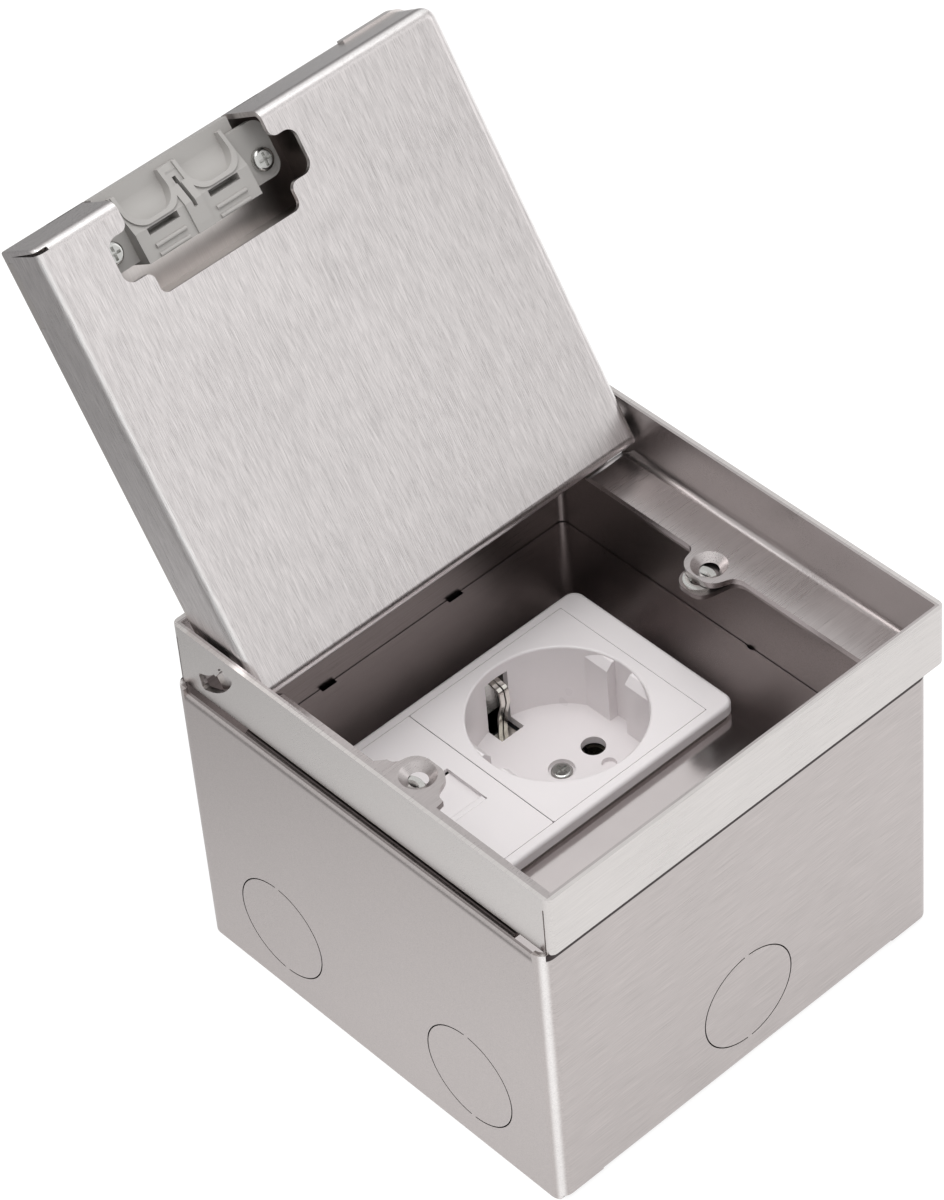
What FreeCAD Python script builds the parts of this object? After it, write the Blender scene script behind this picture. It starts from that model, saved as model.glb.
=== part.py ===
"""Recessed floor socket box in stainless sheet: back box, trim frame, folding lid with a cable outlet,
and a mounting plate that carries an earthed socket and a shuttered data socket.

Millimetres, +Z up. The origin is the middle of the back box's underside. The lid hinges along X on the +Y
side and stands open. Pieces of the lid are drawn shut and then turned open about the hinge axis.
"""
import FreeCAD, Part
import math
import os

V = FreeCAD.Vector
X_AXIS = V(1, 0, 0)
Y_AXIS = V(0, 1, 0)
Z_AXIS = V(0, 0, 1)

# ---- back box -------------------------------------------------------------------------------------------
box_x = 110.9               # outside width, along the hinge
box_y = 111.9               # outside depth
box_h = 76.3                # height of the end walls, which carry the trim frame
sheet = 1.2                 # stainless sheet of the box, plate and lid
corner_bend = 3.2           # outside radius of the box's upright bends
side_drop = 1.0             # the side walls fold in this much below the end walls
top_bend = 2.0              # outside radius of that fold
foot_bend = 2.0             # outside radius of the fold from end wall to bottom
foot_bend_length = 81.0     # the fold stops short of the corners
foot_relief = 1.1           # height of the relief beside the fold
end_relief = 0.35           # the end walls' top edge is this much lower between the corners
end_relief_inset = 7.5      # from the corner to where it starts
side_flange = 8.0           # width of the folded-in flange, from the outside face
flange_front = -46.0        # where the flange starts
flange_back = 35.0          # and stops, short of the lid's swing
fixing_spacing = 70.0       # holes in the bottom for floor fixings
fixing_hole = 5.2

# ---- knockouts ------------------------------------------------------------------------------------------
knockout_d = 25.5
knockout_height = 19.4      # of their centres above the bottom
knockout_pitch = 59.0       # between the two in a side wall
knockout_slit = 0.3
knockout_tab = 1.2          # bridges left at top and bottom

# ---- trim frame -----------------------------------------------------------------------------------------
frame_size = 113.0          # outside, square
frame_h = 16.0
frame_sheet = 1.5
frame_corner = 1.8          # outside radius of the upright corners
frame_root = 1.6            # inside radius from wall to ledge
frame_slide = 3.0           # the unscrewed frame stands this far towards +X on the box
ledge_side = 11.6           # ledge widths, from the inside of the wall
ledge_front = 8.0
ledge_back = 3.4
ledge_side_end = 38.5       # the side ledges stop here, hollowed for the lid's swing
swing_gap = 0.3             # between that hollow and the lid's turning edge
seam_slit = 0.3             # butt seams beside two upright corners
seam_depth = 0.45

# ---- lugs that join the frame to the box ------------------------------------------------------------------
lug_reach = 42.0            # screw centres from the middle
lug_y = -2.0
lug_r = 4.6                 # half width of a frame lug
box_lug_r = 3.9             # and of the box lug under it
lug_hole = 4.4
lug_sink = 8.2              # countersink diameter
nut_flange_d = 7.3          # rivet nut M4
nut_flange_t = 0.8
nut_body_d = 5.8
nut_bore = 3.3
nut_entry = 4.8             # countersink at the thread's start
nut_length = 3.0

# ---- lid --------------------------------------------------------------------------------------------------
lid_open = 122.4            # degrees from shut to resting open
lid_gap = 0.3               # between lid and frame walls
lid_lift = 0.3              # between shut lid and ledge
lid_bend = 2.5              # outside bend radius round the underside
lid_corner = 3.5            # outside radius of the welded upright corner
lid_open_corner = 0.5       # radius of the three unwelded ones
lid_back_gap = 3.1          # room the lid's back edge needs for its swing
tray_sheet = 0.8            # top flange of the lid tray
hem = 0.5                   # thickness of the tray's folded-down corners
hem_drop = 2.6
hem_length = 17.5
hem_inset = 2.6             # of the let-in hems, from the lid's corner
corner_slit = 0.9           # open seam at the free left corner

# ---- hinge: two tongues lanced out of the frame walls ------------------------------------------------------
hinge_y = 43.0              # of the axis
hinge_z = 10.8              # above the frame's bottom
tongue_t = 1.5
tongue_w = 2.9
tongue_length = 3.4         # reach inside the frame wall
tongue_clearance = 0.07     # radial, in the lid's holes
window_inner = 10.6         # radii of the curved window left by the tongue
window_outer = 14.9
window_centre_y = 51.6
window_centre_z = 16.6
window_start = 200.0        # degrees
window_end = 257.0
window_corner = 0.8

# ---- tile recess ------------------------------------------------------------------------------------------
recess_depth = 9.5
recess_inset = 4.0          # from the pan's outside to the recess wall's outside
pocket_side = 27.5          # half width of the pocket that leaves room for the cable outlet
pocket_depth = 24.0         # from the free edge

# ---- cable outlet -----------------------------------------------------------------------------------------
outlet_x = -14.0            # its middle, from the lid's middle
window_half = 19.3          # half width of the opening in pan and free edge
window_depth = 22.1         # from the free edge
window_radius = 1.8
ear_half = 25.2
ear_front = 6.4
ear_back = 16.6
ear_radius = 2.6
flap_half = 18.3
flap_depth = 6.0
flap_t = 2.6
scoop_pitch = 16.4
scoop_width = 11.6
scoop_depth = 8.6
scoop_radius = 4.2
scoop_curve = 5.6           # length of the hollow's curved inner end
scoop_rim_w = 0.9           # raised rim round each scoop
scoop_rim_h = 0.6
outlet_post = 2.2           # half width of the post between the scoops
rib_r = 0.5                 # two half-round ribs at each scoop's inner end
rib_pitch = 2.0
ejector_d = 2.4
outlet_half = 15.2
outlet_back = 16.6
outlet_front_drop = 3.6     # body height below the lid's top, at the free edge
outlet_back_drop = 8.0      # and at its inner end
slot_length = 8.0
slot_width = 1.5
ear_t = 1.6
ear_drop = 4.4              # ear plate's lower face below the lid's top
screw_pitch = 40.8
screw_depth = 11.3          # from the free edge
screw_head_d = 5.2
screw_head_t = 1.5
screw_shank_d = 2.9

# ---- mounting plate ---------------------------------------------------------------------------------------
plate_drop = 28.6           # plate top below the end walls' top
plate_gap = 0.15            # to the box walls
plate_tab = 11.0            # length of its fold-down tabs
end_slot_x = 4.2            # slots either side of the end tabs
end_slot_y = 0.9
end_slot_pitch = 37.5
end_tab_x = 2.1             # middle of the end tabs
side_dent_r = 1.5           # shallow dents between the side tabs
side_dent = 0.5
side_dent_y = -4.2
side_tab_front = -34.0
side_tab_back = 26.0
strip_x = -2.0              # middle of the socket strip
strip_y = 9.2
module = 45.0               # the strip holds one square module and one half module
module_gap = 0.12           # seam round each module

# ---- bezel and support frame --------------------------------------------------------------------------------
bezel_x = 80.5
bezel_y = 50.0
bezel_t = 3.0
bezel_skin = 1.4
bezel_wall = 1.0
bezel_corner = 3.0
bezel_edge = 1.0
support_t = 1.0             # flange of the support frame on the plate
support_inset = 0.8         # inside the bezel's outline
collar_wall = 1.0
collar_depth = 12.0
support_screw_x = 37.2      # from the strip's middle
support_screw_head = 3.9
plate_cut_gap = 0.3

# ---- earthed socket ---------------------------------------------------------------------------------------
cup_d = 39.6
cup_depth = 17.5
cup_wall = 1.5
face_t = 2.0
guide_flat = 17.2           # guide pads: flat faces this far from the middle
guide_half = 9.8
guide_groove = 5.5
guide_lead = 2.2
pin_pitch = 19.0
pin_hole = 5.6
contact_bore = 4.9
contact_wall = 0.8
contact_length = 11.0
contact_slit = 0.8
earth_window = 6.6
earth_window_top = 3.4      # below the face
strap_t = 0.6
strap_w = 4.6
prong_t = 0.5               # two sprung prongs at each end of the strap
prong_w = 1.1
prong_slit = 0.4
prong_gap = 2.8             # the prongs' bellies stand this far in from the cup's wall
mark_d = 3.4                # small round recess beside one pin hole
mark_x = 8.3
mark_y = -6.2
mark_depth = 1.2
body_half = 20.5
body_h = 12.5
centre_screw_d = 4.9
centre_screw_t = 1.1
centre_screw_shank = 3.0
centre_screw_length = 12.0
centre_recess_d = 6.0
centre_seat = 0.8           # floor left under the screw head
terminal_reach = 5.5        # from a pin to its terminal screw
terminal_half = 2.8
terminal_h = 5.5
terminal_screw_d = 2.5

# ---- data socket --------------------------------------------------------------------------------------------
port_x = 12.8               # opening in the face
port_y = 12.5
port_offset = -1.05         # its middle, from the strip's middle
port_skin = 1.0             # the face is this thin round the opening
shutter_t = 1.1
shutter_gap = 0.1           # under the face and beside the rails
shutter_tuck = 0.8          # of its front end under the face
shutter_slit = 0.5          # it ends this short of the opening's back edge
ridge_w = 1.6
ridge_rise = 0.9
ridge_gap = 0.15            # from ridge to opening at either end of the slide
rail_t = 1.6
rail_drop = 9.0
jack_x = 14.6
jack_y = 16.4
jack_h = 22.0
jack_port_x = 11.7
jack_port_y = 7.4
jack_port_depth = 13.5
jack_latch_x = 6.4
jack_latch_y = 1.2
jack_wires = 8
jack_wire_pitch = 1.02
jack_wire_w = 0.4

# ---- box earth terminal -------------------------------------------------------------------------------------
stud_d = 4.0
stud_length = 12.0
stud_inset_x = 18.2         # from the inside of the side wall
stud_inset_y = 16.7         # and of the front wall

# ---- worked out from the above --------------------------------------------------------------------------------
fit_gap = 0.05              # between pieces that seat in one another
wall_x = box_x / 2 - sheet
wall_y = box_y / 2 - sheet
frame_inside = frame_size / 2 - frame_sheet
side_top = box_h - side_drop
plate_top = box_h - plate_drop
bezel_top = plate_top + support_t + bezel_t
strip_half = module * 0.75
socket_x = strip_x + strip_half - module / 2
data_x = strip_x - strip_half + module / 4
lid_low = frame_sheet + lid_lift
pan_half = frame_inside - lid_gap - hem
pan_front = -pan_half
pan_back = frame_inside - lid_back_gap
pan_top = frame_h - tray_sheet
hinge_hole = math.hypot(tongue_t, tongue_w) / 2 + tongue_clearance
pocket_x = outlet_x
stud_x = wall_x - stud_inset_x
stud_y = stud_inset_y - wall_y
lid_swing = math.hypot(pan_back - lid_bend - hinge_y, hinge_z - lid_low - lid_bend) + lid_bend + swing_gap
port_front = port_offset - port_y / 2
port_back = port_offset + port_y / 2
shutter_top = -port_skin - shutter_gap
shutter_front = port_front - shutter_tuck
shutter_travel = port_y - ridge_w - 2 * ridge_gap
jack_top = shutter_top - shutter_t - 0.15
jack_port_back = shutter_front + shutter_travel - 0.2
terminal_x = pin_pitch / 2 + terminal_reach
contact_top = -cup_depth - face_t - strap_t - 0.3


# ---- shapes shared by the pieces ------------------------------------------------------------------------------
def block(x0, x1, y0, y1, z0, z1):
    return Part.makeBox(x1 - x0, y1 - y0, z1 - z0, V(x0, y0, z0))


def rod(x, y, z0, z1, diameter):
    return Part.makeCylinder(diameter / 2, z1 - z0, V(x, y, z0))


def rounded_outline(corners):
    """A closed wire in the XY plane through corners given as (x, y, radius)."""
    points = [V(x, y, 0) for x, y, radius in corners]
    edges = []
    starts = []
    for i, (x, y, radius) in enumerate(corners):
        here = points[i]
        back = (points[i - 1] - here).normalize()
        ahead = (points[(i + 1) % len(points)] - here).normalize()
        if radius <= 0:
            starts.append((here, None, here))
            continue
        half = back.getAngle(ahead) / 2
        setback = radius / math.tan(half)
        centre = here + (back + ahead).normalize() * (radius / math.sin(half))
        middle = centre + (here - centre).normalize() * radius
        starts.append((here + back * setback, middle, here + ahead * setback))
    for i, (first, middle, last) in enumerate(starts):
        if middle is not None:
            edges.append(Part.Arc(first, middle, last).toShape())
        following = starts[(i + 1) % len(starts)][0]
        if (following - last).Length > 1e-6:
            edges.append(Part.makeLine(last, following))
    return Part.Wire(edges)


def plate(corners, z0, z1):
    """A flat plate with the given rounded outline."""
    face = Part.Face(rounded_outline(corners))
    face.translate(V(0, 0, z0))
    return face.extrude(V(0, 0, z1 - z0))


def rectangle(x0, x1, y0, y1, radius):
    return [(x0, y0, radius), (x1, y0, radius), (x1, y1, radius), (x0, y1, radius)]


def ribbon(path, thickness):
    """Outline of a strip of even thickness along a path given as (x, y, bend radius)."""
    points = [V(x, y, 0) for x, y, radius in path]
    left = []
    right = []
    for i, (x, y, radius) in enumerate(path):
        into = (points[i] - points[i - 1]).normalize() if i > 0 else (points[1] - points[0]).normalize()
        out = (points[i + 1] - points[i]).normalize() if i + 1 < len(points) else into
        normal = V(-into.y - out.y, into.x + out.x, 0).normalize()
        reach = thickness / 2 / normal.dot(V(-into.y, into.x, 0))
        bend = math.copysign(thickness / 2, into.cross(out).z) if radius else 0
        left.append((x + normal.x * reach, y + normal.y * reach, radius - bend))
        right.append((x - normal.x * reach, y - normal.y * reach, radius + bend))
    return left + right[::-1]


def union(shapes):
    joined = shapes[0].fuse(shapes[1:]) if len(shapes) > 1 else shapes[0]
    return joined.removeSplitter()


def both_sides(shape):
    """The shape and its mirror image across the YZ plane."""
    return [shape, shape.mirror(V(0, 0, 0), X_AXIS)]


def edge_rounder(length, radius):
    """Cutter that rounds a convex edge lying on the X axis, with the solid at -Y and -Z of it."""
    square = block(0, length, -radius, radius, -radius, radius)
    return square.cut(Part.makeCylinder(radius, length, V(0, -radius, -radius), X_AXIS))


def cross_recess(x, y, z, size, depth):
    """Phillips recess cut down from z."""
    arm = size * 0.22
    first = block(x - size / 2, x + size / 2, y - arm / 2, y + arm / 2, z - depth, z + depth)
    second = block(x - arm / 2, x + arm / 2, y - size / 2, y + size / 2, z - depth, z + depth)
    return first.fuse(second)


def pan_screw(x, y, seat, head_d, head_t, shank_d, length):
    """Screw with a domed Phillips head on top of its seat, shank downwards."""
    head = rod(x, y, seat, seat + head_t, head_d)
    rim = [e for e in head.Edges if abs(e.BoundBox.ZMin - seat - head_t) < 1e-6 and e.BoundBox.XLength > 1]
    head = head.makeFillet(head_t * 0.6, rim)
    screw = head.fuse(rod(x, y, seat - length, seat, shank_d))
    return screw.cut(cross_recess(x, y, seat + head_t, head_d * 0.6, head_t * 0.6)).removeSplitter()


def on_frame(shape):
    """Carries a shape from the frame's own middle and underside to its place on the box."""
    placed = shape.copy()
    placed.translate(V(frame_slide, 0, box_h))
    return placed


def on_lid(shape):
    """Turns a piece of the shut lid open about the hinge axis, then places it with the frame."""
    turned = shape.copy()
    turned.rotate(V(0, hinge_y, hinge_z), X_AXIS, -lid_open)
    return on_frame(turned)


# ---- back box -------------------------------------------------------------------------------------------------
def knockout_cutter():
    """The slit round one knockout, for a wall in the XY plane, with two bridges left on the Y axis."""
    outer = rod(0, 0, -2 * sheet, 2 * sheet, knockout_d + knockout_slit)
    inner = rod(0, 0, -3 * sheet, 3 * sheet, knockout_d - knockout_slit)
    bridges = block(-knockout_tab / 2, knockout_tab / 2, -knockout_d, knockout_d, -3 * sheet, 3 * sheet)
    return outer.cut(inner).cut(bridges)


def lug_outline(edge, start, end, root, half):
    """Ledge outline on the +X side, from its straight inner edge round the lug, running to -Y."""
    tip = lug_reach - half
    return [
        (root, end, 0), (edge, end, 1.5), (edge, lug_y + half + 1.4, 2.2), (tip, lug_y + half, half * 0.9),
        (tip, lug_y - half, half * 0.9), (edge, lug_y - half - 2.2, 3.4), (edge, start, 1.5), (root, start, 0),
    ]


def back_box():
    shell = plate(rectangle(-box_x / 2, box_x / 2, -box_y / 2, box_y / 2, corner_bend), 0, box_h)
    inside = plate(rectangle(-wall_x, wall_x, -wall_y, wall_y, corner_bend - sheet), sheet, box_h + 1)
    shell = shell.cut(inside)
    straight = box_y / 2 - corner_bend
    cutters = []
    for side in (-1, 1):
        lowered = block(wall_x - 0.01, box_x / 2 + 1, -straight, straight, side_top, box_h + 1)
        cutters.append(lowered if side > 0 else lowered.mirror(V(0, 0, 0), X_AXIS))
        rounder = edge_rounder(2 * straight, top_bend)
        rounder.rotate(V(0, 0, 0), Z_AXIS, 90)
        rounder.rotate(V(0, 0, 0), Z_AXIS, 180)
        rounder.translate(V(box_x / 2, straight, side_top))
        cutters.append(rounder if side > 0 else rounder.mirror(V(0, 0, 0), X_AXIS))
        foot = edge_rounder(foot_bend_length + 6, foot_bend)
        foot.rotate(V(0, 0, 0), X_AXIS, 180)
        foot.translate(V(-foot_bend_length / 2 - 3, -box_y / 2, 0))
        foot.rotate(V(0, 0, 0), Z_AXIS, 0 if side > 0 else 180)
        cutters.append(foot)
        level = block(end_relief_inset - box_x / 2, box_x / 2 - end_relief_inset, wall_y - 0.5, box_y / 2 + 1,
                      box_h - end_relief, box_h + 1)
        cutters.append(level if side > 0 else level.mirror(V(0, 0, 0), Y_AXIS))
        for end in (-1, 1):
            relief = plate([
                (foot_bend_length / 2, -1, 0), (box_x, -1, 0), (box_x, foot_relief, 0),
                (foot_bend_length / 2 + 2.5, foot_relief, 0.8), (foot_bend_length / 2, 0, 0.8)], 0, 4)
            relief.rotate(V(0, 0, 0), X_AXIS, 90)
            relief.translate(V(0, -wall_y, 0))
            if end < 0:
                relief = relief.mirror(V(0, 0, 0), X_AXIS)
            if side < 0:
                relief = relief.mirror(V(0, 0, 0), Y_AXIS)
            cutters.append(relief)
    shell = shell.cut(cutters)
    flange = plate(lug_outline(box_x / 2 - side_flange, flange_front, flange_back, box_x / 2 - top_bend,
                               box_lug_r), side_top - sheet, side_top)
    flange = flange.cut(rod(lug_reach, lug_y, 0, box_h, nut_body_d + 2 * fit_gap))
    fold = block(box_x / 2 - top_bend - 0.5, wall_x + 0.3, flange_front, flange_back,
                 side_top - sheet, side_top - 0.3)
    shell = union([shell] + both_sides(flange) + both_sides(fold))
    openings = []
    for side in (-1, 1):
        end_knockout = knockout_cutter()
        end_knockout.rotate(V(0, 0, 0), X_AXIS, 90)
        end_knockout.translate(V(0, side * (box_y / 2 - sheet / 2), knockout_height))
        openings.append(end_knockout)
        for place in (-1, 1):
            side_knockout = knockout_cutter()
            side_knockout.rotate(V(0, 0, 0), X_AXIS, 90)
            side_knockout.rotate(V(0, 0, 0), Z_AXIS, 90)
            side_knockout.translate(V(side * (box_x / 2 - sheet / 2), place * knockout_pitch / 2,
                                      knockout_height))
            openings.append(side_knockout)
            openings.append(rod(side * fixing_spacing / 2, place * fixing_spacing / 2, -1, 3, fixing_hole))
    return shell.cut(openings)


def rivet_nuts():
    nuts = []
    for side in (-1, 1):
        x = side * lug_reach
        nut = rod(x, lug_y, side_top, side_top + nut_flange_t, nut_flange_d)
        nut = nut.fuse(rod(x, lug_y, side_top + nut_flange_t - nut_length, side_top, nut_body_d))
        rim = side_top + nut_flange_t
        entry = Part.makeCone(nut_bore / 2, nut_entry / 2, (nut_entry - nut_bore) / 2,
                              V(x, lug_y, rim - (nut_entry - nut_bore) / 2))
        nuts.append(nut.cut([entry, rod(x, lug_y, side_top - nut_length, box_h + 1, nut_bore)]).removeSplitter())
    return Part.makeCompound(nuts)


def earth_stud():
    return rod(stud_x, stud_y, sheet, sheet + stud_length, stud_d)


def earth_washer():
    ring = rod(stud_x, stud_y, sheet, sheet + 0.8, 9.0)
    return ring.cut(rod(stud_x, stud_y, 0, 9, stud_d + 0.3))


def earth_nut():
    low = sheet + 0.8
    hexagon = Part.Face(Part.makePolygon([
        V(stud_x + 4.04 * math.cos(math.radians(60 * i)), stud_y + 4.04 * math.sin(math.radians(60 * i)), low)
        for i in range(7)])).extrude(V(0, 0, 3.2))
    return hexagon.cut(rod(stud_x, stud_y, 0, 20, stud_d + 0.1))


# ---- trim frame -----------------------------------------------------------------------------------------------
def lance_window():
    """The curved window in one side wall, drawn in the XY plane as (y, z) and then stood up on +X."""
    inner_start = math.radians(window_start)
    inner_end = math.radians(window_end)

    def at(radius, angle):
        return V(window_centre_y + radius * math.cos(angle), window_centre_z + radius * math.sin(angle), 0)

    middle = (inner_start + inner_end) / 2
    wire = Part.Wire([
        Part.Arc(at(window_inner, inner_start), at(window_inner, middle), at(window_inner, inner_end)).toShape(),
        Part.makeLine(at(window_inner, inner_end), at(window_outer, inner_end)),
        Part.Arc(at(window_outer, inner_end), at(window_outer, middle), at(window_outer, inner_start)).toShape(),
        Part.makeLine(at(window_outer, inner_start), at(window_inner, inner_start)),
    ])
    window = Part.Face(wire).extrude(V(0, 0, 2 * frame_sheet))
    uprights = [e for e in window.Edges if e.BoundBox.ZLength > frame_sheet and e.BoundBox.XLength < 1e-6]
    return stand_on_side(window.makeFillet(window_corner, uprights))


def stand_on_side(shape):
    """Turns a shape drawn as (y, z, outwards) to stand on the inside face of the +X frame wall."""
    stood = shape.copy()
    stood.transformShape(FreeCAD.Matrix(0, 0, 1, frame_inside - frame_sheet / 2, 1, 0, 0, 0, 0, 1, 0, 0,
                                        0, 0, 0, 1))
    return stood


def hinge_tongue():
    """Tongue lanced from the window's inner edge and bent in through the lid's wall."""
    angle = math.degrees(math.atan2(hinge_z - window_centre_z, hinge_y - window_centre_y))
    tongue = plate(rectangle(-tongue_t / 2, tongue_t / 2, -tongue_w / 2, tongue_w / 2, 0.3),
                   -tongue_length, frame_sheet)
    tongue.rotate(V(0, 0, 0), Z_AXIS, angle)
    tongue.translate(V(hinge_y, hinge_z, 0))
    tongue.transformShape(FreeCAD.Matrix(0, 0, 1, frame_inside, 1, 0, 0, 0, 0, 1, 0, 0, 0, 0, 0, 1))
    return tongue


def trim_frame():
    half = frame_size / 2
    wall = plate(rectangle(-half, half, -half, half, frame_corner), 0, frame_h)
    wall = wall.cut(plate(rectangle(-frame_inside, frame_inside, -frame_inside, frame_inside, 0.3), -1,
                          frame_h + 1))
    edge = frame_inside - ledge_side
    front = ledge_front - frame_inside
    side = plate(lug_outline(edge, -frame_inside, ledge_side_end, frame_inside + 0.2, lug_r), 0, frame_sheet)
    sink = Part.makeCone(lug_hole / 2, lug_sink / 2, frame_sheet, V(lug_reach, lug_y, 0))
    side = side.cut([sink, rod(lug_reach, lug_y, -3, 3, lug_hole)])
    ledges = both_sides(side)
    ledges.append(block(-frame_inside - 0.2, frame_inside + 0.2, -frame_inside - 0.2, front, 0, frame_sheet))
    ledges.append(block(-frame_inside - 0.2, frame_inside + 0.2, frame_inside - ledge_back, frame_inside + 0.2, 0,
                        frame_sheet))
    root = edge_rounder(2 * frame_inside, frame_root)
    root.rotate(V(0, 0, 0), X_AXIS, 180)
    front_root = root.copy()
    front_root.translate(V(-frame_inside, -frame_inside, frame_sheet))
    side_root = edge_rounder(frame_inside + ledge_side_end, frame_root)
    side_root.rotate(V(0, 0, 0), X_AXIS, 180)
    side_root.rotate(V(0, 0, 0), Z_AXIS, 90)
    side_root.translate(V(frame_inside, -frame_inside, frame_sheet))
    inside = block(-frame_inside, frame_inside, -frame_inside, frame_inside, frame_sheet, frame_h)
    swing = Part.makeCylinder(lid_swing, 2 * frame_size, V(-frame_size, hinge_y, hinge_z), X_AXIS)
    ledges = [ledge.cut(swing) for ledge in ledges[:2]] + ledges[2:]
    side_root = side_root.common(inside).cut(swing)
    frame = union([wall] + ledges + both_sides(side_root) + [front_root.common(inside)])
    window = lance_window()
    frame = frame.cut(both_sides(window))
    frame = union([frame] + both_sides(hinge_tongue()))
    seams = []
    for end in (-1, 1):
        seams.append(block(-half - 1, -half + seam_depth, end * (half - frame_sheet) - seam_slit / 2,
                           end * (half - frame_sheet) + seam_slit / 2, -1, frame_h * 0.8))
    return on_frame(frame.cut(seams))


# ---- lid ------------------------------------------------------------------------------------------------------
def lid_outline(grow):
    """Outline of the lid: the free corner at +X is welded and round, the other three are sharp."""
    return [
        (-pan_half - grow, pan_front - grow, max(lid_open_corner + grow, 0)),
        (pan_half + grow, pan_front - grow, lid_corner + grow),
        (pan_half + grow, pan_back + grow, max(lid_open_corner + grow, 0)),
        (-pan_half - grow, pan_back + grow, max(lid_open_corner + grow, 0)),
    ]


def round_underside(shape, z, radius):
    edges = [e for e in shape.Edges if e.BoundBox.ZMax < z + 1e-6 and e.BoundBox.ZMin > z - 1e-6]
    return shape.makeFillet(radius, edges)


def outlet_window():
    """Opening for the cable outlet: a rounded window with an ear each side, open at the free edge."""
    edge = pan_front
    half = window_half
    corner = window_radius
    outline = [
        (half, edge - 3, 0), (half, edge + ear_front, corner), (ear_half, edge + ear_front, ear_radius),
        (ear_half, edge + ear_back, ear_radius), (half - 0.6, edge + ear_back, corner),
        (half - 0.6, edge + window_depth, corner),
    ]
    mirrored = [(-x, y, r) for x, y, r in reversed(outline)]
    window = plate(outline + mirrored, 0, lid_low + lid_bend)
    window.translate(V(outlet_x, 0, 0))
    return window


def let_in_hems(gap):
    """The tray's two hems at -X, which lie flush in pockets of the pan wall."""
    spans = [(pan_front + hem_inset, pan_front + hem_length), (pan_back - hem_length, pan_back - hem_inset)]
    return [block(-pan_half - gap, hem - pan_half + gap, front - gap, back + gap, frame_h - hem_drop - gap,
                  pan_top + gap) for front, back in spans]


def lid_pan():
    """Folded underside of the lid."""
    outer = round_underside(plate(lid_outline(0), lid_low, pan_top), lid_low, lid_bend)
    inner = round_underside(plate(lid_outline(-sheet), lid_low + sheet, pan_top + 3), lid_low + sheet,
                            lid_bend - sheet)
    pan = outer.cut(inner)
    mouth = block(outlet_x - window_half, outlet_x + window_half, pan_front - 1, pan_front + sheet + 0.5,
                  lid_low, frame_h)
    slit = Part.Face(Part.makePolygon([
        V(-pan_half - 1, pan_front + sheet - corner_slit / 2, lid_low - 1),
        V(-pan_half - 1, pan_front + sheet + corner_slit / 2, lid_low - 1),
        V(-pan_half - 1, pan_front + sheet, pan_top - 2.5),
        V(-pan_half - 1, pan_front + sheet - corner_slit / 2, lid_low - 1)])).extrude(V(sheet + 3, 0, 0))
    holes = Part.makeCylinder(hinge_hole, 3 * frame_size, V(-1.5 * frame_size, hinge_y, hinge_z), X_AXIS)
    return on_lid(pan.cut([outlet_window(), mouth, slit, holes] + let_in_hems(fit_gap)))


def recess_outline(grow):
    """Tile recess, with a step round the cable outlet's pocket."""
    side = pan_half - recess_inset + grow
    front = pan_front + recess_inset - grow
    back = pan_back - recess_inset + grow
    left = pocket_x - pocket_side + grow
    right = pocket_x + pocket_side - grow
    step = pan_front + pocket_depth - grow
    return [
        (-side, front, 1.0), (left, front, 1.0), (left, step, 1.5), (right, step, 1.5), (right, front, 1.0),
        (side, front, 2.0), (side, back, 2.0), (-side, back, 2.0),
    ]


def lid_tray():
    """Top of the lid: a recess for the floor finish, whose flange closes the pan."""
    flange = plate(lid_outline(0), pan_top, frame_h)
    dish = plate(recess_outline(0), frame_h - recess_depth - sheet, frame_h)
    hem_ring = plate(lid_outline(hem), frame_h - hem_drop, frame_h).cut(
        plate(lid_outline(0), frame_h - hem_drop - 1, frame_h + 1))
    outside = pan_half + hem
    corners = [
        block(outside - hem_length, outside + 1, -outside - 1, -outside + hem_length, 0, frame_h),
        block(pan_half - 1, outside + 1, pan_back - hem_length, pan_back - 2, 0, frame_h),
    ]
    hems = [hem_ring.common(corner) for corner in corners] + let_in_hems(0)
    tray = union([flange, dish] + hems)
    recess = plate(recess_outline(-sheet), frame_h - recess_depth, frame_h + 1)
    mouth = block(outlet_x - flap_half - lid_gap, outlet_x + flap_half + lid_gap, pan_front - 1,
                  pan_front + flap_depth + lid_gap, pan_top - 1, frame_h + 1)
    screw_holes = [rod(outlet_x + s * screw_pitch / 2, pan_front + screw_depth, 0, frame_h + 1,
                       screw_shank_d + 2 * fit_gap) for s in (-1, 1)]
    return on_lid(tray.cut([recess, mouth] + screw_holes))


def outlet_profile(drop):
    """Side view of the outlet's body between the scoops, as (y, z), lowered by drop."""
    v0 = pan_front
    level = frame_h - drop
    points = [(1.6, outlet_front_drop), (6.0, outlet_front_drop + 1.9), (10.0, outlet_back_drop - 0.4),
              (outlet_back, outlet_back_drop)]
    corners = [V(0, v0 + 1.6, pan_top - fit_gap)] + [V(0, v0 + v, level - z) for v, z in points]
    corners += [V(0, v0 + outlet_back, pan_top - fit_gap), corners[0]]
    return Part.Face(Part.makePolygon(corners))


def scoop(x, grow):
    """Plan of one cable scoop, a U open at the free edge."""
    v0 = pan_front
    half = scoop_width / 2 + grow
    low = frame_h - outlet_back_drop - 3
    return plate([(x - half, v0 - 2, 0), (x + half, v0 - 2, 0), (x + half, v0 + scoop_depth + grow, scoop_radius),
                  (x - half, v0 + scoop_depth + grow, scoop_radius)], low, frame_h - flap_t)


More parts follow.
